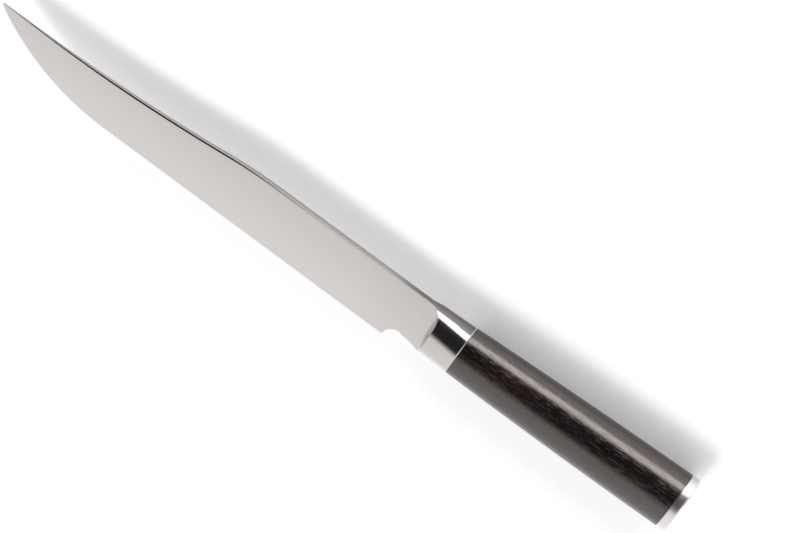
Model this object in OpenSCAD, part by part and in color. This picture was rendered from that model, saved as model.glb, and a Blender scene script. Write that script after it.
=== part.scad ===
// Carving knife with a hidden tang: ground blade, hollow-ground bolster, oval wooden grip and steel end cap.
// The knife lies on its right side. X runs from the tip to the butt, +Y points to the spine, and +Z is up.

/* [Blade] */
// length from the heel corner to the tip
blade_len = 203.2; // [195:0.1:215]
// height of the level spine above the heel corner
spine_height = 30.0; // [29:0.1:31]
// height of the tip above the heel corner
tip_height = 22.4; // [21.5:0.1:23.5]
// how far the sharp point is ground back
tip_cut = 1.1; // [0.3:0.1:2]
// thickness of the blade one millimetre behind the cutting edge
edge_thickness = 0.36; // [0.3:0.01:0.6]
// full angle between the two ground faces, in degrees
grind_angle = 4.3; // [3.8:0.1:5]
// height of the fine bevel along the cutting edge
bevel_height = 0.7; // [0.4:0.1:1.2]

/* [Belly and spine] */
// radius of the long sweep of the edge
belly_radius = 104.4; // [98:0.1:110]
// angle over which the long sweep runs, in degrees
belly_angle = 33.4; // [30:0.1:35]
// radius of the sweep next to the tip
tip_radius = 45; // [36:0.5:60]
// distance from the heel corner to where the spine starts to fall
hump_start = 69.1; // [62:0.1:76]
// radius of the soft hump on the spine
hump_radius = 179; // [120:1:200]
// steepest fall of the spine, in degrees
hump_angle = 7.6; // [6.5:0.1:9]

/* [Heel] */
// radius that softens the heel corner
heel_radius = 0.3; // [0.2:0.1:0.8]
// lean of the line that rises from the heel corner, in degrees
heel_lean = 80; // [74:1:84]
// radius of the hollow behind the heel
choil_radius = 5.5; // [5:0.1:5.9]
// distance from the heel corner to the centre of the hollow
choil_x = 5.8; // [5.6:0.1:6.4]
// height of the underside behind the hollow
ricasso_height = 6.5; // [6:0.1:7]
// how much the underside falls from there to the seam with the bolster
ricasso_fall = 0.6; // [0:0.05:0.8]
// distance from the heel corner to the seam between blade and bolster
seam_x = 8.7; // [8.4:0.1:9.6]

/* [Bolster] */
// length from the seam to the wood
bolster_len = 21.8; // [20:0.1:24]
// width of the oval at the seam, before its sides are ground away
seam_w = 15.2; // [13:0.1:17]
// width of the oval at the wood
joint_w = 18.6; // [17:0.1:20]
// height of the oval at the wood
joint_h = 24.4; // [23:0.1:26]
// height of the oval's middle at the wood
joint_y = 18.3; // [17.8:0.1:19]
// radius of the hollow ground into each side
hollow_radius = 7.7; // [7:0.1:10]
// distance from the heel corner to where the hollow starts
hollow_x = 9.0; // [8.7:0.1:10.6]
// chamfer of the steel where it meets the wood
steel_chamfer = 0.2; // [0.1:0.05:0.4]

/* [Grip] */
// length of the wooden grip
wood_len = 105.5; // [95:0.1:115]
// width of the oval at the butt
butt_w = 21.8; // [20:0.1:24]
// height of the oval at the butt
butt_h = 27.8; // [26:0.1:30]
// how far the middle line climbs towards the spine side on the way to the butt
grip_rise = 3.3; // [2:0.1:4.5]

/* [End cap] */
// thickness of the cap
cap_len = 4.2; // [3.6:0.1:5]
// radius of the cap's rear edge
cap_round = 0.8; // [0.4:0.1:1.2]
// diameter of the stud that carries the cap
stud_d = 6; // [5:0.1:6.5]
// depth of the stud's hole in the cap
stud_depth = 2.4; // [2:0.1:2.8]

/* [Tang] */
// thickness of the tang bar
tang_t = 3.5; // [3:0.1:4]
// height of the tang bar at the bolster
tang_front_h = 11; // [9:0.1:12]
// height of the tang bar at its rear end
tang_rear_h = 7; // [6.5:0.1:8]
// length of the tang bar inside the wood
tang_len = 76; // [60:0.5:80]
// depth of the tang's pocket in the bolster
tang_depth = 7; // [5:0.1:8]
// height of the slot in the wood
slot_h = 12.5; // [12.2:0.1:13]
// width of the slot in the wood
slot_w = 5.5; // [4.6:0.1:6.5]
// diameter of the bore in the wood around the stud
bore_d = 8; // [7.5:0.1:9]
// radial clearance between round surfaces that fit into each other
round_gap = 0.03; // [0.02:0.01:0.08]

/* [Part] */
// the sub-part to draw

/* [Hidden] */
SIDES = 64;

// stations along the knife
joint_x = seam_x + bolster_len;
wood_end_x = joint_x + wood_len;
butt_x = wood_end_x + cap_len;
slot_end_x = joint_x + tang_len;

// the ground faces: half thickness at the edge and growth per millimetre of height
rise = tan(grind_angle / 2);
edge_half = edge_thickness / 2 - rise;
edge_flat = 0.03;

// the two sweeps of the edge
long_up = belly_radius * (1 - cos(belly_angle));
long_run = belly_radius * sin(belly_angle);
tip_angle = acos(cos(belly_angle) - (tip_height - long_up) / tip_radius);
tip_run = tip_radius * (sin(tip_angle) - sin(belly_angle));
belly_x = long_run + tip_run - blade_len - tip_cut;

// the spine falls over a hump and levels out again in one long sag
hump_drop = hump_radius * (1 - cos(hump_angle));
hump_run = hump_radius * sin(hump_angle);
sag_radius = (spine_height - tip_height - hump_drop) / (1 - cos(hump_angle));
sag_run = sag_radius * sin(hump_angle);

// how far the ground faces are drawn up from the edge, a little past the spine
grind_up = spine_height + 2;

// the hollow behind the heel and the rounded heel corner, both touched by the line that joins them
choil_y = ricasso_height - choil_radius;
heel_y = heel_radius - 0.02;
heel_x = choil_x - ((choil_y - heel_y) * cos(heel_lean) + choil_radius + heel_radius) / sin(heel_lean);

// body of the bolster at the seam, as high as the blade
seam_h = spine_height - ricasso_height + ricasso_fall;
seam_y = spine_height - seam_h / 2;
tang_y = joint_y + 0.4 * grip_rise;

// the knife in its own frame: centred in X and Y, lowest point at Z = 0
mid_x = (butt_x - blade_len) / 2;
mid_y = (grip_y(1) + butt_h / 2) / 2;
floor_z = max([for (i = [0:20]) grip_w(i / 20)]) / 2;

// fraction of the way along the grip and cap, 0 at the bolster and 1 at the butt
function along(x) = (x - joint_x) / (butt_x - joint_x);

// growth that is quick at first and settles towards the butt
function swell(u) = 1.9 * u - 0.9 * u * u;
function grip_w(u) = joint_w + (butt_w - joint_w) * swell(u);
function grip_h(u) = joint_h + (butt_h - joint_h) * swell(u);
function grip_y(u) = joint_y + grip_rise * (0.9 * u + 0.1 * u * u);

// change of the bolster's height from the seam to the wood, quick next to the blade
function settle(u) = 1 - pow(1 - u, 3);

// one ring of an oval body around the X direction
function ring(x, y, h, w) = [for (i = [0:SIDES - 1])
  [x, y + cos(360 * i / SIDES) * h / 2, sin(360 * i / SIDES) * w / 2]];

// one ring of the grip or cap, shrunk by an inset
function grip_ring(x, inset = 0) = let (u = along(x))
  ring(x, grip_y(u), grip_h(u) - 2 * inset, grip_w(u) - 2 * inset);

// a closed body through a list of rings
module loft(rings) {
  last = len(rings) - 1;
  front = [[for (i = [0:SIDES - 1]) i]];
  back = [[for (i = [0:SIDES - 1]) last * SIDES + SIDES - 1 - i]];
  skin = [for (k = [0:last - 1]) for (i = [0:SIDES - 1]) for (t = [0, 1])
    let (j = (i + 1) % SIDES, a = k * SIDES, b = a + SIDES)
    t == 0 ? [a + i, b + j, a + j] : [a + i, b + i, b + j]];
  polyhedron(points = [for (r = rings) for (p = r) p], faces = concat(front, back, skin), convexity = 4);
}

// moves a sub-part from the heel's frame into the knife's own frame
module place() {
  translate([-mid_x, -mid_y, floor_z]) children();
}

// the blade seen from the side: spine, tip, room for the whole edge, heel corner, hollow and ricasso
module side_outline() {
  hump = [for (i = [0:8]) let (a = hump_angle * i / 8)
    [-hump_start - hump_radius * sin(a), spine_height - hump_radius * (1 - cos(a))]];
  sag = [for (i = [1:12]) let (a = hump_angle * (1 - i / 12))
    [-hump_start - hump_run - sag_run + sag_radius * sin(a), tip_height + sag_radius * (1 - cos(a))]];
  below = [
    [-blade_len, tip_height],
    [-blade_len, -2],
    [heel_x, -2]];
  heel = [for (i = [0:6]) let (a = heel_lean * i / 6)
    [heel_x + heel_radius * sin(a), heel_y - heel_radius * cos(a)]];
  choil = [for (i = [0:12]) let (a = heel_lean * (1 - i / 12))
    [choil_x - choil_radius * sin(a), choil_y + choil_radius * cos(a)]];
  polygon(concat([[seam_x, spine_height]], hump, sag, below, heel, choil, [
    [seam_x, ricasso_height - ricasso_fall]]));
}

// a flat tapering ring around the centre of a sweep, with the cutting edge as its rim
module sweep_cone(r) {
  rotate_extrude($fn = 540) polygon([
    [r - grind_up, -edge_half - rise * grind_up],
    [r - bevel_height, -edge_half - rise * bevel_height],
    [r, -edge_flat],
    [r, edge_flat],
    [r - bevel_height, edge_half + rise * bevel_height],
    [r - grind_up, edge_half + rise * grind_up]]);
}

// everything on the tip's side of the YZ plane, as far as the blade reaches
module tipwards() {
  translate([-blade_len, -blade_len, -joint_w]) cube([blade_len, 2 * blade_len, 2 * joint_w]);
}

// the long sweep of the belly and the tighter sweep at the tip, which meet on one radial plane
module belly_grind() {
  translate([belly_x, belly_radius, 0]) {
    difference() {
      intersection() {
        sweep_cone(belly_radius);
        tipwards();
      }
      rotate([0, 0, -belly_angle]) tipwards();
    }
    rotate([0, 0, -belly_angle]) intersection() {
      translate([0, tip_radius - belly_radius, 0]) sweep_cone(tip_radius);
      tipwards();
    }
  }
}

// the two ground faces along the straight edge, as one long wedge
module straight_grind() {
  translate([belly_x, 0, 0]) rotate([90, 0, 90]) linear_extrude(height = seam_x - belly_x) polygon([
    [0, -edge_flat],
    [bevel_height, -edge_half - rise * bevel_height],
    [grind_up, -edge_half - rise * grind_up],
    [grind_up, edge_half + rise * grind_up],
    [bevel_height, edge_half + rise * bevel_height],
    [0, edge_flat]]);
}

module blade() {
  color([0.80, 0.79, 0.78]) place() intersection() {
    union() {
      straight_grind();
      belly_grind();
    }
    translate([0, 0, -joint_w]) linear_extrude(height = 2 * joint_w) side_outline();
  }
}

// grinds the left side of the bolster flush with the blade, and hollow behind that
module side_grind() {
  hollow = [for (i = [0:24]) let (a = 85 * i / 24)
    [hollow_x + hollow_radius * sin(a), hollow_radius * (1 - cos(a))]];
  translate([0, 0, edge_half]) rotate([grind_angle / 2, 0, 0])
    translate([0, 2 * spine_height, 0]) rotate([90, 0, 0]) linear_extrude(height = 3 * spine_height)
      polygon(concat([[seam_x - 2, 0]], hollow, [
        [hollow_x + hollow_radius, joint_w],
        [seam_x - 2, joint_w]]));
}

module bolster() {
  steps = 18;
  body = [for (i = [0:steps]) let (u = i / steps, v = settle(u))
    ring(seam_x + (bolster_len - steel_chamfer) * u,
      seam_y + (joint_y - seam_y) * v, seam_h + (joint_h - seam_h) * v, seam_w + (joint_w - seam_w) * u)];
  edge = [ring(joint_x, joint_y, joint_h - 2 * steel_chamfer, joint_w - 2 * steel_chamfer)];
  color([0.78, 0.78, 0.79]) place() difference() {
    loft(concat(body, edge));
    side_grind();
    mirror([0, 0, 1]) side_grind();
    translate([joint_x - tang_depth, tang_y - tang_front_h / 2, -tang_t / 2])
      cube([tang_depth + 1, tang_front_h, tang_t]);
  }
}

module tang() {
  color([0.55, 0.55, 0.56]) place() translate([0, 0, -tang_t / 2]) linear_extrude(height = tang_t) polygon([
    [joint_x - tang_depth, tang_y - tang_front_h / 2],
    [joint_x, tang_y - tang_front_h / 2],
    [slot_end_x, tang_y - tang_rear_h / 2],
    [slot_end_x, tang_y + tang_rear_h / 2],
    [joint_x, tang_y + tang_front_h / 2],
    [joint_x - tang_depth, tang_y + tang_front_h / 2]]);
}

// the slot and bore in the wood, which the bedding fills: shrunk in the bore, or run past the wood's ends
module slot(gap = 0, past = 0) {
  translate([joint_x - past, tang_y - slot_h / 2, -slot_w / 2]) cube([tang_len + past, slot_h, slot_w]);
  translate([slot_end_x, tang_y, 0]) rotate([0, 90, 0])
    cylinder(d = bore_d - 2 * gap, h = wood_end_x + past - slot_end_x, $fn = 96);
}

module grip() {
  steps = 14;
  color([0.12, 0.09, 0.09]) place() difference() {
    loft([for (i = [0:steps]) grip_ring(joint_x + wood_len * i / steps)]);
    slot(past = 1);
  }
}

module bedding() {
  color([0.62, 0.58, 0.48]) place() difference() {
    slot(round_gap);
    translate([0, 0, -tang_t / 2]) linear_extrude(height = tang_t) polygon([
      [joint_x - 1, tang_y - tang_front_h / 2],
      [joint_x, tang_y - tang_front_h / 2],
      [slot_end_x, tang_y - tang_rear_h / 2],
      [slot_end_x, tang_y + tang_rear_h / 2],
      [joint_x, tang_y + tang_front_h / 2],
      [joint_x - 1, tang_y + tang_front_h / 2]]);
    translate([slot_end_x, tang_y, 0]) rotate([0, 90, 0])
      cylinder(d = stud_d + 2 * round_gap, h = wood_len, $fn = 96);
  }
}

module cap_stud() {
  color([0.60, 0.60, 0.61]) place() translate([slot_end_x, tang_y, 0]) rotate([0, 90, 0])
    cylinder(d = stud_d, h = wood_end_x + stud_depth - slot_end_x, $fn = 96);
}

module end_cap() {
  rounds = 4;
  front = [grip_ring(wood_end_x, steel_chamfer), grip_ring(wood_end_x + steel_chamfer)];
  rear = [for (i = [0:rounds]) let (a = 90 * i / rounds)
    grip_ring(butt_x - cap_round * (1 - sin(a)), cap_round * (1 - cos(a)))];
  color([0.78, 0.78, 0.79]) place() difference() {
    loft(concat(front, rear));
    translate([wood_end_x - 1, tang_y, 0]) rotate([0, 90, 0])
      cylinder(d = stud_d + 2 * round_gap, h = stud_depth + 1, $fn = 96);
  }
}

blade();
bolster();
tang();
grip();
bedding();
cap_stud();
end_cap();
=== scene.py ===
"""Looks of the carving knife: ground blade, hollow-ground bolster, dark wooden grip and steel end cap."""

import logging
import math
from dataclasses import dataclass, field, replace
from enum import Enum, IntEnum
from functools import cached_property
from typing import Sequence

import bmesh
import bpy
from mathutils import Matrix, Vector


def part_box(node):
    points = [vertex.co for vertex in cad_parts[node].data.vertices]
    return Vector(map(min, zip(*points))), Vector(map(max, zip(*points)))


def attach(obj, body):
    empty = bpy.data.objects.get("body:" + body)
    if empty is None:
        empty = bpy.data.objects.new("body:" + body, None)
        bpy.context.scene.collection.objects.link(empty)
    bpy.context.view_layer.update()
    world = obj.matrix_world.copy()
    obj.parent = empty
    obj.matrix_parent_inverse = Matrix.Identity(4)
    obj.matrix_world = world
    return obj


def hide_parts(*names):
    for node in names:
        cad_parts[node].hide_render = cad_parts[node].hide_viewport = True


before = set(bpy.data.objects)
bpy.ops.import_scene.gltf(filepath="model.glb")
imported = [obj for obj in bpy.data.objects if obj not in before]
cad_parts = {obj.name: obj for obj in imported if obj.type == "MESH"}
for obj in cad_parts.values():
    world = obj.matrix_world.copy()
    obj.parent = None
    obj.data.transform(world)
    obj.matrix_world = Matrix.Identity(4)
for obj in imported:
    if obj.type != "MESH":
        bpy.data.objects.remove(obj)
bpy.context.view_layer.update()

log = logging.getLogger("carving_knife")

BODY = "root"
MM = 0.001

Point = tuple[float, float]
Triple = tuple[float, float, float]


def steps(low: float, high: float, count: int) -> list[float]:
    """Returns count numbers from low to high, both included, evenly spaced."""
    return [low + (high - low) * i / (count - 1) for i in range(count)]


@dataclass(frozen=True)
class KnifeSizes:
    """Driving sizes of the knife in millimetres and degrees, measured from the heel corner of the blade."""

    blade_len: float = 203.2
    spine_height: float = 30.0
    tip_height: float = 22.4
    tip_cut: float = 1.1
    edge_thickness: float = 0.36
    grind_angle: float = 4.3
    bevel_height: float = 0.7
    edge_flat: float = 0.03
    belly_radius: float = 104.4
    belly_angle: float = 33.4
    tip_radius: float = 45.0
    hump_start: float = 69.1
    hump_radius: float = 179.0
    hump_angle: float = 7.6
    heel_radius: float = 0.3
    heel_lean: float = 80.0
    choil_radius: float = 5.5
    choil_x: float = 5.8
    ricasso_height: float = 6.5
    ricasso_fall: float = 0.6
    seam_x: float = 8.7
    bolster_len: float = 21.8
    seam_w: float = 15.2
    joint_w: float = 18.6
    joint_h: float = 24.4
    joint_y: float = 18.3
    hollow_radius: float = 7.7
    hollow_x: float = 9.0
    steel_chamfer: float = 0.2
    wood_len: float = 105.5
    butt_w: float = 21.8
    butt_h: float = 27.8
    grip_rise: float = 3.3
    swell_bend: float = 0.9
    rise_bend: float = 0.1
    cap_len: float = 4.2
    cap_round: float = 0.8

    @property
    def joint_x(self) -> float:
        """Where the bolster ends and the wood begins."""
        return self.seam_x + self.bolster_len

    @property
    def wood_end_x(self) -> float:
        """Where the wood ends and the cap begins."""
        return self.joint_x + self.wood_len

    @property
    def butt_x(self) -> float:
        """The rear face of the cap."""
        return self.wood_end_x + self.cap_len

    @property
    def rise(self) -> float:
        """Growth of the blade's half thickness for each millimetre of height."""
        return math.tan(math.radians(self.grind_angle / 2))

    @property
    def edge_half(self) -> float:
        """Half thickness at which the ground faces would meet the line of the edge."""
        return self.edge_thickness / 2 - self.rise

    @property
    def seam_h(self) -> float:
        """Height of the cross-section at the seam between blade and bolster."""
        return self.spine_height - self.ricasso_height + self.ricasso_fall

    def along(self, x: float) -> float:
        """Fraction of the way along the grip and cap, 0 at the bolster and 1 at the butt."""
        return (x - self.joint_x) / (self.butt_x - self.joint_x)

    def grip_section(self, x: float) -> Triple:
        """Cross-section of the grip and cap.

        Args:
            x: Distance from the heel corner.

        Returns:
            The middle's height, the oval's height and the oval's width.
        """
        u = self.along(x)
        swell = (1 + self.swell_bend) * u - self.swell_bend * u * u
        climb = (1 - self.rise_bend) * u + self.rise_bend * u * u
        middle = self.joint_y + self.grip_rise * climb
        height = self.joint_h + (self.butt_h - self.joint_h) * swell
        width = self.joint_w + (self.butt_w - self.joint_w) * swell
        return middle, height, width

    @cached_property
    def origin(self) -> Triple:
        """The middle of the knife's length and of its height, and half its greatest width."""
        middle, height, _ = self.grip_section(self.butt_x)
        mid_x = (self.butt_x - self.blade_len) / 2
        mid_y = (middle + height / 2) / 2
        samples = steps(self.joint_x, self.butt_x, 21)
        widest = max(self.grip_section(x)[2] for x in samples)
        return mid_x, mid_y, widest / 2

    def place(self, x: float, y: float, z: float) -> Vector:
        """Turns a point in millimetres from the heel corner into one of the part's frame, in metres."""
        mid_x, mid_y, half_width = self.origin
        return Vector((x - mid_x, y - mid_y, z + half_width)) * MM

    def measure(self, point: Vector) -> Vector:
        """Turns a point of the part's frame, in metres, back into millimetres from the heel corner."""
        return (point - self.place(0, 0, 0)) / MM


SIZES = KnifeSizes()


class BladeOutline:
    """The blade seen from the side: its edge, heel and spine, as heights over the distance from the heel.

    The capitals say how closely the stations lie. In the tip zone they crowd towards the point.
    """

    TIP_ZONE = 9.0
    TIP_CROWDING = 1.6
    TIP_STEPS = 40
    BELLY_STATIONS = 90
    STRAIGHT_STATIONS = 111
    CORNER_STEPS = 6
    HEEL_STATIONS = 10
    CHOIL_STEPS = 16
    REAR_STATIONS = 8

    def __init__(self, sizes: KnifeSizes) -> None:
        """Works out the arcs that the outline is made of.

        Args:
            sizes: The sizes of the knife.
        """
        self.sizes = s = sizes
        turn = math.radians(s.belly_angle)
        long_up = s.belly_radius * (1 - math.cos(turn))
        tip_turn = math.acos(math.cos(turn) - (s.tip_height - long_up) / s.tip_radius)
        run = s.belly_radius * math.sin(turn) + s.tip_radius * (math.sin(tip_turn) - math.sin(turn))
        self.belly_x = run - s.blade_len - s.tip_cut
        self.sweep_x = self.belly_x - s.belly_radius * math.sin(turn)
        inward = s.tip_radius - s.belly_radius
        self.tip_centre = (self.belly_x + inward * math.sin(turn), s.belly_radius + inward * math.cos(turn))
        hump = math.radians(s.hump_angle)
        self.hump_end = s.hump_start + s.hump_radius * math.sin(hump)
        drop = s.spine_height - s.tip_height - s.hump_radius * (1 - math.cos(hump))
        self.sag_radius = drop / (1 - math.cos(hump))
        self.sag_end = self.hump_end + self.sag_radius * math.sin(hump)
        lean = math.radians(s.heel_lean)
        self.choil_y = s.ricasso_height - s.choil_radius
        across = s.choil_radius + s.heel_radius + (self.choil_y - s.heel_radius) * math.cos(lean)
        self.heel_x = s.choil_x - across / math.sin(lean)
        self.heel_end = self.heel_x + s.heel_radius * math.sin(lean)
        self.choil_start = s.choil_x - s.choil_radius * math.sin(lean)

    def edge(self, x: float) -> float:
        """Height of the cutting edge, or of the underside behind the heel, at x."""
        s = self.sizes
        if x > s.choil_x:
            return s.ricasso_height - s.ricasso_fall * (x - s.choil_x) / (s.seam_x - s.choil_x)
        if x > self.choil_start:
            return self.choil_y + math.sqrt(max(0.0, s.choil_radius**2 - (x - s.choil_x) ** 2))
        if x > self.heel_end:
            lean = math.radians(s.heel_lean)
            return s.heel_radius * (1 - math.cos(lean)) + (x - self.heel_end) * math.tan(lean)
        if x > self.heel_x:
            return s.heel_radius - math.sqrt(s.heel_radius**2 - (x - self.heel_x) ** 2)
        return self.drawn_in(x, 0.0)

    def drawn_in(self, x: float, depth: float) -> float:
        """Height at x of the line that runs beside the edge, depth millimetres inside the outline."""
        s = self.sizes
        if x > self.belly_x:
            return depth
        centre, radius = (self.belly_x, s.belly_radius), s.belly_radius
        if x < self.sweep_x:
            centre, radius = self.tip_centre, s.tip_radius
        return centre[1] - math.sqrt((radius - depth) ** 2 - (x - centre[0]) ** 2)

    def depth(self, x: float, y: float) -> float:
        """How far a point lies from the edge, square to it."""
        s = self.sizes
        if x > self.belly_x:
            return y
        if x < self.sweep_x:
            return s.tip_radius - math.dist((x, y), self.tip_centre)
        return s.belly_radius - math.dist((x, y), (self.belly_x, s.belly_radius))

    def half_thickness(self, x: float, y: float) -> float:
        """Half the blade's thickness at a point: a fine bevel first, then the long ground face."""
        s = self.sizes
        depth = max(0.0, self.depth(x, y))
        if depth >= s.bevel_height:
            return s.edge_half + s.rise * depth
        bevel_half = s.edge_half + s.rise * s.bevel_height
        return s.edge_flat + (bevel_half - s.edge_flat) * depth / s.bevel_height

    def spine(self, x: float) -> float:
        """Height of the spine at x."""
        s = self.sizes
        if x > -s.hump_start:
            return s.spine_height
        if x > -self.hump_end:
            return s.spine_height - s.hump_radius + math.sqrt(s.hump_radius**2 - (x + s.hump_start) ** 2)
        if x > -self.sag_end:
            return s.tip_height + self.sag_radius - math.sqrt(self.sag_radius**2 - (x + self.sag_end) ** 2)
        return s.tip_height

    def stations(self) -> list[float]:
        """Distances at which the blade is drawn: close together at tip and heel, wider between them."""
        s = self.sizes
        lean = math.radians(s.heel_lean)
        shares = [(i / self.TIP_STEPS) ** self.TIP_CROWDING for i in range(self.TIP_STEPS)]
        tip = [-s.blade_len + self.TIP_ZONE * share for share in shares]
        belly = steps(-s.blade_len + self.TIP_ZONE, self.belly_x, self.BELLY_STATIONS)
        straight = steps(self.belly_x, self.heel_x, self.STRAIGHT_STATIONS)
        turns = [lean * i / self.CORNER_STEPS for i in range(self.CORNER_STEPS)]
        corner = [self.heel_x + s.heel_radius * math.sin(turn) for turn in turns]
        line = steps(self.heel_end, self.choil_start, self.HEEL_STATIONS)
        turns = [lean * (1 - i / self.CHOIL_STEPS) for i in range(self.CHOIL_STEPS)]
        hollow = [s.choil_x - s.choil_radius * math.sin(turn) for turn in turns]
        rear = steps(s.choil_x, s.seam_x, self.REAR_STATIONS)
        return tip + belly[:-1] + straight[:-1] + corner + line[:-1] + hollow + rear


class Finish(Enum):
    """The finishes on the knife, by the name of the material that holds each."""

    GROUND = "ground_steel"
    HONED = "honed_edge"
    # The spine, its corners and the hollows hold darker tones that are painted shade.
    SPINE = "spine_steel"
    CORNER = "spine_corner"
    BRUSHED = "brushed_steel"
    POLISHED = "polished_steel"
    HOLLOW = "hollow_steel"
    ROLLED = "rolled_steel"
    WOOD = "black_wood"
    ADHESIVE = "set_adhesive"


class NodeBench:
    """A material's node tree with short calls for adding and linking its nodes.

    Most of a noise lies between the two values of NOISE_SPAN. The numbers after MIX belong to the sockets
    of a mix node for colours, which share their names with others.
    """

    NOISE_SPAN: Point = (0.3, 0.7)
    MIX_SHARE = 0
    MIX_FIRST = 6
    MIX_SECOND = 7
    MIX_RESULT = 2

    def __init__(self, tree: bpy.types.NodeTree) -> None:
        """Empties the tree.

        Args:
            tree: The node tree to fill.
        """
        self.tree = tree
        tree.nodes.clear()

    def add(self, kind: str, **values: object) -> bpy.types.Node:
        """Adds a node and sets its properties.

        Args:
            kind: The node's type, such as ShaderNodeMath.
            values: Properties of the node by name.

        Returns:
            The new node.
        """
        node = self.tree.nodes.new(kind)
        for name, value in values.items():
            setattr(node, name, value)
        return node

    def feed(self, socket: bpy.types.NodeSocket, source: object) -> None:
        """Links an output to a socket, or sets the socket's own value."""
        if isinstance(source, bpy.types.NodeSocket):
            self.tree.links.new(source, socket)
        else:
            socket.default_value = source

    def math(self, operation: str, first: object, second: object = 0.0) -> bpy.types.NodeSocket:
        """Adds a math node and returns its output."""
        node = self.add("ShaderNodeMath", operation=operation)
        self.feed(node.inputs[0], first)
        self.feed(node.inputs[1], second)
        return node.outputs[0]

    def rise(
        self, value: object, low: float, high: float, start: float = 0.0, end: float = 1.0
    ) -> bpy.types.NodeSocket:
        """Adds a smooth rise of value from start, at low, to end, at high, and returns its output."""
        node = self.add("ShaderNodeMapRange", interpolation_type="SMOOTHSTEP")
        for name, source in {
            "Value": value, "From Min": low, "From Max": high, "To Min": start, "To Max": end
        }.items():
            self.feed(node.inputs[name], source)
        return node.outputs["Result"]

    def stretched(self, per_mm: Triple) -> bpy.types.NodeSocket:
        """Object coordinates scaled so that a pattern repeats so often per millimetre along X, Y and Z."""
        coordinates = self.add("ShaderNodeTexCoord")
        mapping = self.add("ShaderNodeMapping")
        self.feed(mapping.inputs["Vector"], coordinates.outputs["Object"])
        mapping.inputs["Scale"].default_value = [v / MM for v in per_mm]
        return mapping.outputs["Vector"]

    def noise(self, per_mm: Triple, detail: float = 2.0, roughness: float = 0.5) -> bpy.types.NodeSocket:
        """Adds noise on stretched object coordinates and returns its value, about 0.5 on average."""
        node = self.add("ShaderNodeTexNoise")
        self.feed(node.inputs["Vector"], self.stretched(per_mm))
        node.inputs["Scale"].default_value = 1.0
        node.inputs["Detail"].default_value = detail
        node.inputs["Roughness"].default_value = roughness
        return node.outputs["Fac"]

    def blend(self, share: object, first: object, second: object) -> bpy.types.NodeSocket:
        """Mixes two colours and returns the result."""
        node = self.add("ShaderNodeMix", data_type="RGBA")
        self.feed(node.inputs[self.MIX_SHARE], share)
        self.feed(node.inputs[self.MIX_FIRST], first)
        self.feed(node.inputs[self.MIX_SECOND], second)
        return node.outputs[self.MIX_RESULT]

    def position(self) -> bpy.types.NodeSocket:
        """Adds nodes that split the object coordinates, and returns the splitting node's outputs."""
        node = self.add("ShaderNodeSeparateXYZ")
        self.feed(node.inputs[0], self.add("ShaderNodeTexCoord").outputs["Object"])
        return node.outputs

    def bump(self, height: object, depth_mm: float) -> bpy.types.NodeSocket:
        """Adds a bump of that depth and returns the normal."""
        node = self.add("ShaderNodeBump")
        self.feed(node.inputs["Height"], height)
        node.inputs["Distance"].default_value = depth_mm * MM
        node.inputs["Strength"].default_value = 1.0
        return node.outputs["Normal"]


class Surface:
    """A finish that paints one material, which is made once and then used again."""

    name: str

    def material(self) -> bpy.types.Material:
        """Builds the material, or returns it if it is there already."""
        if self.name in bpy.data.materials:
            return bpy.data.materials[self.name]
        made = bpy.data.materials.new(self.name)
        made.use_nodes = True
        bench = NodeBench(made.node_tree)
        shader = bench.add("ShaderNodeBsdfPrincipled")
        output = bench.add("ShaderNodeOutputMaterial")
        bench.feed(output.inputs["Surface"], shader.outputs["BSDF"])
        self.paint(bench, shader)
        return made

    def paint(self, bench: NodeBench, shader: bpy.types.Node) -> None:
        """Adds the nodes that feed the shader.

        Args:
            bench: The material's node bench.
            shader: The principled shader.
        """
        raise NotImplementedError


@dataclass(frozen=True)
class Steel(Surface):
    """A steel surface with fine scratches that run one way.

    The scratch scale is in marks per millimetre along X, Y and Z, low along the run of the scratches.
    Scratches and faint clouds mix by scratch_share. They change the colour by the share shading and the
    roughness by spread. Two more shares darken the colour and multiply; this darkening is painted shade.
    One goes from the first value of kept to the second between the two places, in millimetres along the
    knife. The other goes from the first value of across, on the edge's side, to the second between the
    two ends of span, in millimetres across the knife.
    """

    name: str
    colour: Triple
    roughness: float
    spread: float
    scratches: Triple
    scratch_depth: float
    clouds: Triple = (0.05, 0.08, 0.08)
    shading: float = 0.03
    scratch_share: float = 0.7
    places: Point = (0.0, 1.0)
    kept: Point = (1.0, 1.0)
    span: Point = (-17.0, 13.0)
    across: Point = (1.0, 1.0)

    def paint(self, bench: NodeBench, shader: bpy.types.Node) -> None:
        """Adds scratches, faint clouds and the fall of the colour over the knife."""
        shader.inputs["Metallic"].default_value = 1.0
        fine = bench.noise(self.scratches, detail=3.0, roughness=0.6)
        clouds = bench.noise(self.clouds)
        share = bench.math("ADD", bench.math("MULTIPLY", fine, self.scratch_share),
                           bench.math("MULTIPLY", clouds, 1 - self.scratch_share))
        dark = [v * (1 - self.shading) for v in self.colour]
        light = [min(1.0, v * (1 + self.shading)) for v in self.colour]
        plain = bench.blend(share, (*dark, 1.0), (*light, 1.0))
        # The two shares below darken the colour by place, along the knife and across it: painted shade.
        position = bench.position()
        start, end = (v * MM for v in self.places)
        kept = bench.rise(position["X"], start, end, *self.kept)
        low, high = (v * MM for v in self.span)
        kept = bench.math("MULTIPLY", kept, bench.rise(position["Y"], low, high, *self.across))
        bench.feed(shader.inputs["Base Color"], bench.blend(kept, (0.0, 0.0, 0.0, 1.0), plain))
        smooth, dull = self.roughness - self.spread, self.roughness + self.spread
        bench.feed(shader.inputs["Roughness"], bench.rise(share, *bench.NOISE_SPAN, smooth, dull))
        bench.feed(shader.inputs["Normal"], bench.bump(fine, self.scratch_depth))


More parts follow.
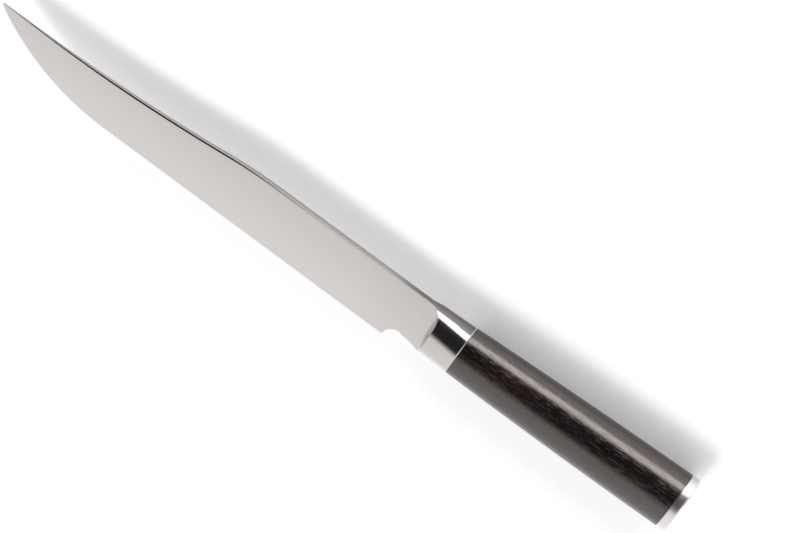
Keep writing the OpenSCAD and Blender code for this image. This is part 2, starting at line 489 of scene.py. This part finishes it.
@dataclass(frozen=True)
class BlackWood(Surface):
    """Dense near-black wood with a fine lengthwise grain and a satin surface.

    Bands, fibres and pores are three patterns of the grain, from broad to fine, each scaled in repeats per
    millimetre along X, Y and Z. Fibres and pores show between the two values of their spans. In shares of
    the relief, fibres stand up by fibre_height and pores go down by pore_sink. The roughness lies between
    its two values, with the fibres, and pores add pore_dulling to it.
    """

    name: str = Finish.WOOD.value
    dark: Triple = (0.0030, 0.0012, 0.0014)
    light: Triple = (0.0270, 0.0130, 0.0135)
    sheen: Triple = (1.0, 0.90, 0.88)
    refraction: float = 1.6
    roughness: Point = (0.16, 0.25)
    bands: Triple = (0.020, 0.50, 0.50)
    fibres: Triple = (0.055, 3.0, 3.0)
    fibre_span: Point = (0.25, 0.75)
    fibre_height: float = 0.45
    pores: Triple = (0.16, 4.5, 4.5)
    pore_span: Point = (0.56, 0.72)
    pore_sink: float = 0.5
    pore_dulling: float = 0.12
    relief: float = 0.034

    def paint(self, bench: NodeBench, shader: bpy.types.Node) -> None:
        """Adds the grain to colour, roughness and surface."""
        shader.inputs["IOR"].default_value = self.refraction
        shader.inputs["Specular IOR Level"].default_value = 1.0
        shader.inputs["Specular Tint"].default_value = (*self.sheen, 1.0)
        bands = bench.noise(self.bands, detail=3.0, roughness=0.55)
        fibres = bench.noise(self.fibres, detail=3.0, roughness=0.65)
        pits = bench.rise(bench.noise(self.pores), *self.pore_span)
        streaks = bench.math("MULTIPLY", bench.rise(bands, *bench.NOISE_SPAN),
                             bench.rise(fibres, *self.fibre_span))
        colour = bench.blend(streaks, (*self.dark, 1.0), (*self.light, 1.0))
        bench.feed(shader.inputs["Base Color"], colour)
        sheen = bench.rise(fibres, *bench.NOISE_SPAN, *self.roughness)
        dulling = bench.math("MULTIPLY", pits, self.pore_dulling)
        bench.feed(shader.inputs["Roughness"], bench.math("ADD", sheen, dulling))
        raised = bench.math("MULTIPLY", fibres, self.fibre_height)
        sunk = bench.math("MULTIPLY", pits, self.pore_sink)
        height = bench.math("SUBTRACT", raised, sunk)
        bench.feed(shader.inputs["Normal"], bench.bump(height, self.relief))


@dataclass(frozen=True)
class Adhesive(Surface):
    """Set adhesive: pale, matte and slightly cloudy."""

    name: str = Finish.ADHESIVE.value
    dark: Triple = (0.28, 0.24, 0.16)
    light: Triple = (0.38, 0.33, 0.23)
    clouds: Triple = (0.3, 0.3, 0.3)
    roughness: Point = (0.45, 0.65)
    dent_depth: float = 0.1

    def paint(self, bench: NodeBench, shader: bpy.types.Node) -> None:
        """Adds the clouds to colour, roughness and surface."""
        clouds = bench.noise(self.clouds, detail=4.0)
        colour = bench.blend(clouds, (*self.dark, 1.0), (*self.light, 1.0))
        bench.feed(shader.inputs["Base Color"], colour)
        bench.feed(shader.inputs["Roughness"], bench.rise(clouds, *bench.NOISE_SPAN, *self.roughness))
        bench.feed(shader.inputs["Normal"], bench.bump(clouds, self.dent_depth))


# Ground steel with painted shade: slightly darker towards the spine and towards the bolster.
GROUND = Steel(
    Finish.GROUND.value, colour=(0.724, 0.689, 0.677), roughness=0.30, spread=0.02,
    scratches=(2.6, 0.05, 0.05), scratch_depth=0.0004,
    places=(5.0, 41.0), kept=(1.0, 0.955), across=(1.0, 0.895),
)
HONED = Steel(
    Finish.HONED.value, colour=(0.690, 0.685, 0.675), roughness=0.22, spread=0.02,
    scratches=(4.0, 0.3, 0.3), scratch_depth=0.0005,
)
# Spine steel: a lengthwise finish, and a darker tone that is painted shade for the dark surroundings that
# the spine and the bolster's strips mirror, down to half towards the bolster.
SPINE = Steel(
    Finish.SPINE.value, colour=(0.420, 0.415, 0.405), roughness=0.30, spread=0.04,
    scratches=(0.05, 1.6, 1.6), scratch_depth=0.0008,
    places=(18.0, 38.0), kept=(1.0, 0.5),
)
# Painted shade: a dark line along the spine's corners, near black towards the tip and lighter towards the
# heel.
CORNER = Steel(
    Finish.CORNER.value, colour=(0.420, 0.412, 0.402), roughness=0.34, spread=0.03,
    scratches=(0.05, 1.6, 1.6), scratch_depth=0.0005,
    places=(-70.0, -5.0), kept=(0.04, 0.9),
)
BRUSHED = Steel(
    Finish.BRUSHED.value, colour=(0.810, 0.778, 0.773), roughness=0.30, spread=0.03,
    scratches=(4.0, 0.08, 0.08), scratch_depth=0.0008,
)
# Polished steel with painted shade: slightly darker towards the spine.
POLISHED = Steel(
    Finish.POLISHED.value, colour=(0.668, 0.631, 0.620), roughness=0.15, spread=0.03,
    scratches=(0.05, 2.4, 2.4), scratch_depth=0.0004,
    across=(1.0, 0.90),
)
# Painted shade: a copy of the polished steel for the hollows, darker in the rear of the hollow where it
# rises to the crest.
HOLLOW = replace(POLISHED, name=Finish.HOLLOW.value, places=(44.9, 46.1), kept=(1.0, 0.87))
ROLLED = Steel(
    Finish.ROLLED.value, colour=(0.420, 0.415, 0.410), roughness=0.42, spread=0.06,
    scratches=(0.1, 1.2, 1.2), scratch_depth=0.004,
)
WOOD = BlackWood()
ADHESIVE = Adhesive()


class Shop:
    """The modelling steps that several pieces share, each on one active object."""

    @staticmethod
    def clear_choice() -> None:
        """Leaves edit mode and deselects every object."""
        if bpy.context.object is not None and bpy.context.object.mode != "OBJECT":
            bpy.ops.object.mode_set(mode="OBJECT")
        bpy.ops.object.select_all(action="DESELECT")

    @staticmethod
    def pick(piece: bpy.types.Object) -> None:
        """Makes piece the only selected object and the active one."""
        Shop.clear_choice()
        piece.select_set(True)
        bpy.context.view_layer.objects.active = piece

    @staticmethod
    def rolled_body(name: str, rings: Sequence[Sequence[Vector]]) -> bpy.types.Object:
        """Rolls a grid up into a closed body whose cross-sections are the rings.

        The grid's columns run round the body and its rows along it. The last column lies on the first, the
        two are merged, and the open ends are closed with a face each.

        Args:
            name: The piece's name.
            rings: The points of each cross-section, in metres, from one end of the body to the other.

        Returns:
            The new object, with outward faces.
        """
        Shop.clear_choice()
        around, rows = len(rings[0]), len(rings)
        bpy.ops.mesh.primitive_grid_add(x_subdivisions=around, y_subdivisions=rows - 1, size=1.0)
        piece = bpy.context.object
        piece.name = name
        piece.data.name = name
        for row, ring in enumerate(rings):
            for column in range(around + 1):
                piece.data.vertices[row * (around + 1) + column].co = ring[column % around]
        bpy.ops.object.mode_set(mode="EDIT")
        bpy.ops.mesh.select_all(action="SELECT")
        bpy.ops.mesh.remove_doubles(threshold=1e-8)
        bpy.ops.mesh.select_all(action="DESELECT")
        bpy.ops.mesh.select_non_manifold(extend=False)
        bpy.ops.mesh.edge_face_add()
        bpy.ops.mesh.select_all(action="SELECT")
        bpy.ops.mesh.normals_make_consistent(inside=False)
        bpy.ops.mesh.select_all(action="DESELECT")
        bpy.ops.object.mode_set(mode="OBJECT")
        return piece

    @staticmethod
    def smooth(piece: bpy.types.Object, degrees: float = 30.0) -> None:
        """Shades the piece smooth, with edges steeper than an angle left crisp."""
        Shop.pick(piece)
        bpy.ops.object.shade_smooth_by_angle(angle=math.radians(degrees))

    @staticmethod
    def finish(piece: bpy.types.Object, slot: str, node: str, surfaces: Sequence[Surface]) -> None:
        """Gives the piece its materials and its place in the frame.

        Args:
            piece: The finished piece.
            slot: The record's material slot for the piece. Not used.
            node: The CAD node that it stands for.
            surfaces: Its finishes, in the order of its faces' material numbers.
        """
        for surface in surfaces:
            piece.data.materials.append(surface.material())
        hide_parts(node)
        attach(piece, BODY)
        gap = Shop.box_gap(piece, node)
        log.info("%s: %d faces, box within %.3f mm of its node", piece.name, len(piece.data.polygons), gap)

    @staticmethod
    def box_gap(piece: bpy.types.Object, node: str) -> float:
        """The greatest distance, in millimetres, between the sides of the piece's box and its node's."""
        gaps = []
        for axis, (low, high) in enumerate(zip(*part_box(node))):
            ends = [corner[axis] for corner in piece.bound_box]
            gaps += [abs(min(ends) - low), abs(max(ends) - high)]
        return max(gaps) / MM


class BladeFace(IntEnum):
    """The material numbers of the blade's faces, in the order of its finishes."""

    GROUND = 0
    HONED = 1
    SPINE = 2
    CORNER = 3


@dataclass
class Blade:
    """The blade: two long ground faces, a fine bevel along the edge, and a flat spine with soft corners.

    The spine's corners are rounded by corner_round at the heel and by front_round in front. The change
    between the two is as long as the distance from the heel to the hump, and starts at round_delay times
    that distance. Where the blade is low or thin, bevel and corners take no more than a share of its height
    or of its half thickness. A face whose normal's Y is above corner_from belongs to a corner of the spine,
    and above spine_from to the spine. An edge of the mesh runs along the bevel's line if both its ends lie
    within line_slack of it. The spine lies at least least_height above the edge.
    """

    sizes: KnifeSizes = SIZES
    face_rows: int = 10
    corner_round: float = 0.13
    front_round: float = 0.62
    round_delay: float = 0.3
    corner_rows: int = 4
    least_height: float = 1e-4
    most_bevel_share: float = 0.4
    least_bevel: float = 0.05
    low_share: float = 0.3
    thin_share: float = 0.6
    line_slack: float = 0.01
    corner_from: float = 0.15
    spine_from: float = 0.97
    outline: BladeOutline = field(init=False)

    def __post_init__(self) -> None:
        """Works out the outline."""
        self.outline = BladeOutline(self.sizes)

    def bevel_line(self, x: float, bottom: float, tall: float) -> float:
        """Height of the bevel's upper line at x, on a blade that is tall millimetres high from bottom."""
        line = self.sizes.bevel_height
        if x < self.outline.heel_x:
            line = self.outline.drawn_in(x, line)
        line = min(line, bottom + self.most_bevel_share * tall)
        return max(line, bottom + min(self.least_bevel, self.low_share * tall))

    def corner_radius(self, x: float, top: float, tall: float) -> float:
        """Radius of the spine's corners at x, where the spine is at the height top."""
        forward = min(1.0, max(0.0, -x / self.sizes.hump_start - self.round_delay))
        radius = self.corner_round + (self.front_round - self.corner_round) * forward
        return min(radius, self.low_share * tall, self.thin_share * self.outline.half_thickness(x, top))

    def half_ring(self, x: float) -> list[Point]:
        """The cross-section's left half at x, from the edge to the spine, as height and half thickness."""
        outline = self.outline
        bottom, top = outline.edge(x), outline.spine(x)
        tall = max(top - bottom, self.least_height)
        bevel = self.bevel_line(x, bottom, tall)
        soft = self.corner_radius(x, top, tall)
        rows = [(bottom, outline.half_thickness(x, bottom))]
        for height in steps(bevel, top - soft, self.face_rows):
            rows.append((height, outline.half_thickness(x, height)))
        side = rows[-1][1]
        for i in range(1, self.corner_rows + 1):
            turn = math.pi / 2 * i / self.corner_rows
            rows.append((top - soft + soft * math.sin(turn), side - soft + soft * math.cos(turn)))
        return rows

    def build(self) -> bpy.types.Object:
        """Models the blade.

        Returns:
            The finished piece.
        """
        rings = []
        for x in self.outline.stations():
            left = self.half_ring(x)
            ring = [self.sizes.place(x, y, z) for y, z in left]
            ring += [self.sizes.place(x, y, -z) for y, z in reversed(left)]
            rings.append(ring)
        piece = Shop.rolled_body("ground_blade", rings)
        self.crease(piece)
        return piece

    def on_bevel_line(self, edge: bmesh.types.BMEdge) -> bool:
        """Tells whether an edge of the mesh runs along the bevel's upper line."""
        ends = [self.sizes.measure(vert.co) for vert in edge.verts]
        gaps = [abs(self.outline.depth(end.x, end.y) - self.sizes.bevel_height) for end in ends]
        return max(gaps) < self.line_slack

    def face_kind(self, face: bmesh.types.BMFace) -> BladeFace:
        """Tells what a face of the mesh belongs to."""
        middle = self.sizes.measure(face.calc_center_median())
        # Spine and corner faces take darker steels whose tones are painted shade.
        if face.normal.y > self.spine_from:
            return BladeFace.SPINE
        if face.normal.y > self.corner_from:
            return BladeFace.CORNER
        in_bevel = self.outline.depth(middle.x, middle.y) < self.sizes.bevel_height
        return BladeFace.HONED if middle.x < self.outline.heel_x and in_bevel else BladeFace.GROUND

    def crease(self, piece: bpy.types.Object) -> None:
        """Shades the faces smooth, keeps the bevel's upper line crisp, and numbers the faces."""
        Shop.smooth(piece)
        bpy.ops.object.mode_set(mode="EDIT")
        mesh = bmesh.from_edit_mesh(piece.data)
        for edge in mesh.edges:
            edge.smooth = edge.smooth and not self.on_bevel_line(edge)
        for face in mesh.faces:
            face.material_index = self.face_kind(face)
        bmesh.update_edit_mesh(piece.data)
        bpy.ops.object.mode_set(mode="OBJECT")

    def dress(self, piece: bpy.types.Object) -> None:
        """Gives the blade its ground faces, honed bevel, spine and darker spine corners; all but the bevel
        carry painted shade, most on the corners.
        """
        Shop.finish(piece, "blade_steel", "blade", (GROUND, HONED, SPINE, CORNER))


def oval(sizes: KnifeSizes, x: float, section: Triple, sides: int, inset: float = 0.0) -> list[Vector]:
    """One ring of an oval body.

    Args:
        sizes: The sizes of the knife.
        x: Distance from the heel corner.
        section: The middle's height, the oval's height and its width.
        sides: Number of points.
        inset: How much the ring is drawn in on all sides.

    Returns:
        The ring's points in metres, in the frame of the part.
    """
    middle, height, width = section
    ring = []
    for i in range(sides):
        turn = 2 * math.pi * i / sides
        y = math.cos(turn) * (height / 2 - inset)
        z = math.sin(turn) * (width / 2 - inset)
        ring.append(sizes.place(x, middle + y, z))
    return ring


class BolsterFace(IntEnum):
    """The material numbers of the bolster's faces, in the order of its finishes."""

    BODY = 0
    FLUSH = 1
    STRIP = 2
    HOLLOW = 3
    REAR = 4


@dataclass
class Bolster:
    """The steel collar: an oval body with both sides ground away, flush to the blade and then hollow.

    The sides are cut by a wheel whose path is flat up to hollow_x and then climbs an arc of wheel_turn
    degrees. It leaves a crest, and edges that turn more than crest_turn degrees stay crisp. The path
    starts wheel_reach in front of the body. The body's height and middle settle towards the wood with the
    power settle_power. The rear edge falls by rear_sink over its last rear_break millimetres. Faces that
    lean more than strip_turn degrees towards the spine or the edge take the blade's darker spine steel,
    whose tone is painted shade for the dark surroundings that these strips mirror. A face belongs to a
    hollow where it lies less than ground_share of the way out to the body's own oval. The X of a face's
    normal lies between the two values of rear_lean on the rear slope, and is at least end_lean on what
    faces along the knife.
    """

    sizes: KnifeSizes = SIZES
    sides: int = 128
    rows: int = 56
    strip_turn: float = 65.5
    rear_break: float = 0.41
    rear_sink: float = 0.2
    rear_lean: Point = (0.2, 0.9)
    end_lean: float = 0.5
    ground_share: float = 0.985
    wheel_turn: float = 86.0
    wheel_rows: int = 72
    wheel_reach: float = 3.0
    wheel_lead: float = 0.3
    crest_turn: float = 24.0
    settle_power: int = 3

    @property
    def smooth_length(self) -> float:
        """Length of the body in front of its sloping rear edge."""
        return self.sizes.bolster_len - self.rear_break

    def section(self, u: float) -> Triple:
        """The middle's height, the height and the width of the body at a fraction of its length."""
        s = self.sizes
        seam_y = s.spine_height - s.seam_h / 2
        settled = 1 - (1 - u) ** self.settle_power
        return (
            seam_y + (s.joint_y - seam_y) * settled,
            s.seam_h + (s.joint_h - s.seam_h) * settled,
            s.seam_w + (s.joint_w - s.seam_w) * u,
        )

    def body(self) -> bpy.types.Object:
        """Rolls the body up, with its sloping edge where it meets the wood."""
        s = self.sizes
        rings = []
        for u in steps(0, 1, self.rows):
            rings.append(oval(s, s.seam_x + self.smooth_length * u, self.section(u), self.sides))
        rings.append(oval(s, s.joint_x, self.section(1), self.sides, self.rear_sink))
        return Shop.rolled_body("hollow_ground_bolster", rings)

    def grinder(self, side: int) -> bpy.types.Object:
        """The wheel's path through one side: flat along the blade's face, then up a hollow.

        Args:
            side: 1 for the left side, -1 for the right side.

        Returns:
            A closed cutter.
        """
        s = self.sizes
        front = s.seam_x - self.wheel_reach
        profile = [(front, 0.0), (s.hollow_x - self.wheel_lead, 0.0)]
        for i in range(self.wheel_rows + 1):
            turn = math.radians(self.wheel_turn) * i / self.wheel_rows
            out = s.hollow_radius * (1 - math.cos(turn))
            profile.append((s.hollow_x + s.hollow_radius * math.sin(turn), out))
        profile += [(s.hollow_x + s.hollow_radius, s.joint_w), (front, s.joint_w)]
        lean = math.radians(s.grind_angle / 2)
        rings = []
        for reach in (-s.spine_height, 2 * s.spine_height):
            ring = []
            for x, z in profile:
                y_turned = reach * math.cos(lean) - z * math.sin(lean)
                z_turned = s.edge_half + reach * math.sin(lean) + z * math.cos(lean)
                ring.append(s.place(x, y_turned, side * z_turned))
            rings.append(ring)
        return Shop.rolled_body("grinder", rings)

    def build(self) -> bpy.types.Object:
        """Models the bolster.

        Returns:
            The finished piece.
        """
        piece = self.body()
        for side in (1, -1):
            cutter = self.grinder(side)
            Shop.pick(piece)
            cut = piece.modifiers.new("grind", "BOOLEAN")
            cut.operation = "DIFFERENCE"
            cut.solver = "EXACT"
            cut.object = cutter
            bpy.ops.object.modifier_apply(modifier=cut.name)
            bpy.data.objects.remove(cutter)
        self.mark_faces(piece)
        Shop.smooth(piece, self.crest_turn)
        return piece

    def within(self, point: Vector) -> float:
        """How far out a point lies in the body's oval: 0 in the middle and 1 on the body's own surface."""
        middle, height, width = self.section((point.x - self.sizes.seam_x) / self.smooth_length)
        return math.hypot((point.y - middle) / (height / 2), point.z / (width / 2))

    def face_kind(self, face: bpy.types.MeshPolygon) -> BolsterFace:
        """Tells what a face of the mesh belongs to."""
        s = self.sizes
        middle = s.measure(face.center)
        if self.rear_lean[0] < face.normal.x < self.rear_lean[1]:
            return BolsterFace.REAR
        sideways = abs(face.normal.x) < self.end_lean
        # Strips facing the spine or the edge take the darker spine steel as painted shade.
        if sideways and abs(face.normal.y) > math.sin(math.radians(self.strip_turn)):
            return BolsterFace.STRIP
        if sideways and middle.x < s.hollow_x:
            return BolsterFace.FLUSH
        if self.within(middle) < self.ground_share and middle.x < s.hollow_x + s.hollow_radius:
            return BolsterFace.HOLLOW
        return BolsterFace.BODY

    def mark_faces(self, piece: bpy.types.Object) -> None:
        """Numbers the faces by what they belong to."""
        for face in piece.data.polygons:
            face.material_index = self.face_kind(face)

    def dress(self, piece: bpy.types.Object) -> None:
        """Gives the body, flush sides, strips, hollows and rear slope their finishes; all but the rear
        slope carry painted shade, most on strips and hollows.
        """
        Shop.finish(piece, "fitting_steel", "bolster", (POLISHED, GROUND, SPINE, HOLLOW, BRUSHED))


@dataclass
class Grip:
    """The wooden grip: an oval that grows towards the butt, with its ends lightly broken."""

    sizes: KnifeSizes = SIZES
    sides: int = 128
    rows: int = 44
    end_break: float = 0.12

    def build(self) -> bpy.types.Object:
        """Models the grip.

        Returns:
            The finished piece.
        """
        s = self.sizes
        inner = steps(s.joint_x + self.end_break, s.wood_end_x - self.end_break, self.rows)
        rings = [oval(s, s.joint_x, s.grip_section(s.joint_x), self.sides, self.end_break)]
        rings += [oval(s, x, s.grip_section(x), self.sides) for x in inner]
        rings.append(oval(s, s.wood_end_x, s.grip_section(s.wood_end_x), self.sides, self.end_break))
        piece = Shop.rolled_body("wooden_grip", rings)
        Shop.smooth(piece)
        return piece

    def dress(self, piece: bpy.types.Object) -> None:
        """Gives the grip its wood."""
        Shop.finish(piece, "grip_wood", "grip", (WOOD,))


@dataclass
class EndCap:
    """The steel cap: chamfered where it meets the wood and rounded over at the rear."""

    sizes: KnifeSizes = SIZES
    sides: int = 128
    rows: int = 6
    round_rows: int = 8

    def build(self) -> bpy.types.Object:
        """Models the cap.

        Returns:
            The finished piece.
        """
        s = self.sizes
        front = s.wood_end_x
        rings = [oval(s, front, s.grip_section(front), self.sides, s.steel_chamfer)]
        for x in steps(front + s.steel_chamfer, s.butt_x - s.cap_round, self.rows):
            rings.append(oval(s, x, s.grip_section(x), self.sides))
        for i in range(1, self.round_rows + 1):
            turn = math.pi / 2 * i / self.round_rows
            x = s.butt_x - s.cap_round * (1 - math.sin(turn))
            rings.append(oval(s, x, s.grip_section(x), self.sides, s.cap_round * (1 - math.cos(turn))))
        piece = Shop.rolled_body("steel_end_cap", rings)
        Shop.smooth(piece)
        return piece

    def dress(self, piece: bpy.types.Object) -> None:
        """Brushes the cap."""
        Shop.finish(piece, "fitting_steel", "end_cap", (BRUSHED,))


@dataclass
class HiddenCore:
    """The pieces inside the wood, whose CAD shapes are right and only take a finish."""

    surfaces: dict[str, Surface] = field(
        default_factory=lambda: {"tang": ROLLED, "cap_stud": ROLLED, "bedding": ADHESIVE}
    )

    def dress(self) -> None:
        """Gives each hidden node its material."""
        for node, surface in self.surfaces.items():
            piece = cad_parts[node]
            piece.data.materials.clear()
            piece.data.materials.append(surface.material())
            log.info("%s: finish %s", node, surface.name)


@dataclass(frozen=True)
class Zone:
    """A part of the studio's surroundings that is darker or brighter than the tent.

    Directions are given by their turn from straight up towards the spine side, in degrees, and by how far
    they lean along the knife, from -1 at the tip's end to 1 at the butt's end. The zone lies between the
    turns start and end, whose borders are blurred by soft and by edge degrees, and between the leans low
    and high, whose borders are blurred by lean_soft. Its light has the strength level.
    """

    start: float
    end: float
    soft: float
    edge: float
    low: float
    high: float
    level: float
    lean_soft: float = 0.08


@dataclass
class Studio:
    """The surroundings: a light tent with a dark opening and a bright panel, and a lamp on the edge's side.

    The tent's wall at the butt's end is a little brighter, and the walls at both ends are darker on the
    spine's side. Both changes run between the two leans or turns of their zone, the turns in radians.
    """

    sizes: KnifeSizes = SIZES
    tent: float = 0.95
    butt_wall: float = 1.0
    butt_zone: Point = (0.4, 0.85)
    far_wall: float = 0.35
    far_zone: Point = (0.4, 0.7)
    far_turns: Point = (-0.2, 0.5)
    lamp_strength: float = 1.3
    lamp_softness: float = 24.0
    lamp_height: float = 50.0
    opening: Zone = Zone(start=-18, end=55, soft=10, edge=4, low=-0.62, high=0.30, level=0.02)
    panel: Zone = Zone(start=57.5, end=86, soft=2.5, edge=2.5, low=-0.5, high=0.4, level=4.2)
    floor_size: float = 60.0
    floor_colour: Triple = (0.92, 0.92, 0.92)
    floor_lift: float = 0.16
    backdrop: float = 1.0
    lens: float = 247.5
    yaw: float = 1.3
    tilt: float = 40.0
    roll: float = 36.451
    distance: float = 2225.12
    target: Point = (-9.552, 34.627)

    @staticmethod
    def zone_mask(bench: NodeBench, turn: object, along: object, zone: Zone) -> bpy.types.NodeSocket:
        """Adds nodes that are 1 inside a zone and 0 outside it, with soft borders."""
        start, end = math.radians(zone.start), math.radians(zone.end)
        soft, edge = math.radians(zone.soft), math.radians(zone.edge)
        inside = bench.math("MULTIPLY", bench.rise(turn, start - soft, start + soft),
                            bench.rise(turn, end - edge, end + edge, 1.0, 0.0))
        ahead = bench.rise(along, zone.low - zone.lean_soft, zone.low + zone.lean_soft)
        behind = bench.rise(along, zone.high - zone.lean_soft, zone.high + zone.lean_soft, 1.0, 0.0)
        return bench.math("MULTIPLY", inside, bench.math("MULTIPLY", ahead, behind))

    @staticmethod
    def moved(bench: NodeBench, level: object, mask: object, target: float) -> bpy.types.NodeSocket:
        """Adds nodes that move a level towards a target by the mask's share."""
        step = bench.math("MULTIPLY", mask, bench.math("SUBTRACT", target, level))
        return bench.math("ADD", level, step)

    def light(self) -> None:
        """Builds the world: its light by direction, and one plain level for the camera."""
        world = bpy.data.worlds.new("studio")
        bpy.context.scene.world = world
        world.use_nodes = True
        bench = NodeBench(world.node_tree)
        direction = bench.add("ShaderNodeSeparateXYZ")
        bench.feed(direction.inputs[0], bench.add("ShaderNodeTexCoord").outputs["Generated"])
        turn = bench.math("ARCTAN2", direction.outputs["Y"], direction.outputs["Z"])
        along = direction.outputs["X"]
        level = bench.rise(along, *self.butt_zone, self.tent, self.butt_wall)
        far_ends = bench.rise(bench.math("ABSOLUTE", along), *self.far_zone)
        far = bench.math("MULTIPLY", far_ends, bench.rise(turn, *self.far_turns))
        level = self.moved(bench, level, far, self.far_wall)
        for zone in (self.opening, self.panel):
            level = self.moved(bench, level, self.zone_mask(bench, turn, along, zone), zone.level)
        seen = bench.add("ShaderNodeLightPath").outputs["Is Camera Ray"]
        background = bench.add("ShaderNodeBackground")
        background.inputs["Color"].default_value = (1.0, 1.0, 1.0, 1.0)
        bench.feed(background.inputs["Strength"], self.moved(bench, level, seen, self.backdrop))
        output = bench.add("ShaderNodeOutputWorld")
        bench.feed(output.inputs["Surface"], background.outputs["Background"])

    def lamp(self) -> None:
        """Hangs a soft lamp on the edge's side, which throws the shadow behind the spine."""
        data = bpy.data.lights.new("soft_lamp", "SUN")
        data.energy = self.lamp_strength
        data.angle = math.radians(self.lamp_softness)
        lamp = bpy.data.objects.new("soft_lamp", data)
        bpy.context.scene.collection.objects.link(lamp)
        lamp.rotation_euler = (math.radians(90 - self.lamp_height), 0.0, 0.0)
        lamp.visible_glossy = False

    def floor(self) -> None:
        """Lays a plain pale floor under the knife."""
        Shop.clear_choice()
        bpy.ops.mesh.primitive_plane_add(size=self.floor_size, location=(0, 0, 0))
        plane = bpy.context.object
        plane.name = "studio_floor"
        made = bpy.data.materials.new("pale_floor")
        made.use_nodes = True
        bench = NodeBench(made.node_tree)
        matte = bench.add("ShaderNodeBsdfDiffuse")
        matte.inputs["Color"].default_value = (*self.floor_colour, 1.0)
        path = bench.add("ShaderNodeLightPath")
        mirrored = bench.math("MAXIMUM", path.outputs["Is Glossy Ray"], path.outputs["Is Transmission Ray"])
        shown = bench.math("MAXIMUM", path.outputs["Is Camera Ray"], mirrored)
        glow = bench.add("ShaderNodeEmission")
        bench.feed(glow.inputs["Strength"], bench.math("MULTIPLY", shown, self.floor_lift))
        both = bench.add("ShaderNodeAddShader")
        bench.feed(both.inputs[0], matte.outputs["BSDF"])
        bench.feed(both.inputs[1], glow.outputs["Emission"])
        output = bench.add("ShaderNodeOutputMaterial")
        bench.feed(output.inputs["Surface"], both.outputs["Shader"])
        plane.data.materials.append(made)

    def camera(self) -> None:
        """Sets the camera at the photograph's viewing angle."""
        s = self.sizes
        yaw, tilt, roll = (math.radians(v) for v in (self.yaw, self.tilt, self.roll))
        back = Vector((math.sin(yaw), math.cos(yaw) * math.sin(tilt), math.cos(yaw) * math.cos(tilt)))
        along = Vector((1, 0, 0)) - back * back.x
        along.normalize()
        down = (-back).cross(along)
        right = along * math.cos(roll) - down * math.sin(roll)
        below = along * math.sin(roll) + down * math.cos(roll)
        place = s.place(*self.target, 0) + back * self.distance * MM
        data = bpy.data.cameras.new("photo_camera")
        data.lens = self.lens
        data.sensor_width = 36.0
        data.clip_start, data.clip_end = 0.1, 100.0
        camera = bpy.data.objects.new("photo_camera", data)
        bpy.context.scene.collection.objects.link(camera)
        turned = Matrix((right, -below, back)).transposed().to_4x4()
        camera.matrix_world = Matrix.Translation(place) @ turned
        bpy.context.scene.camera = camera

    def build(self) -> None:
        """Sets up floor, light, camera and colour view."""
        self.floor()
        self.light()
        self.lamp()
        self.camera()
        bpy.context.scene.view_settings.view_transform = "Standard"


def main() -> None:
    """Builds and dresses each piece in order, then the studio around them."""
    logging.basicConfig(level=logging.INFO, format="%(name)s: %(message)s")
    for maker in (Blade(), Bolster(), Grip(), EndCap()):
        maker.dress(maker.build())
    HiddenCore().dress()
    Studio().build()


if __name__ == "__main__":
    main()
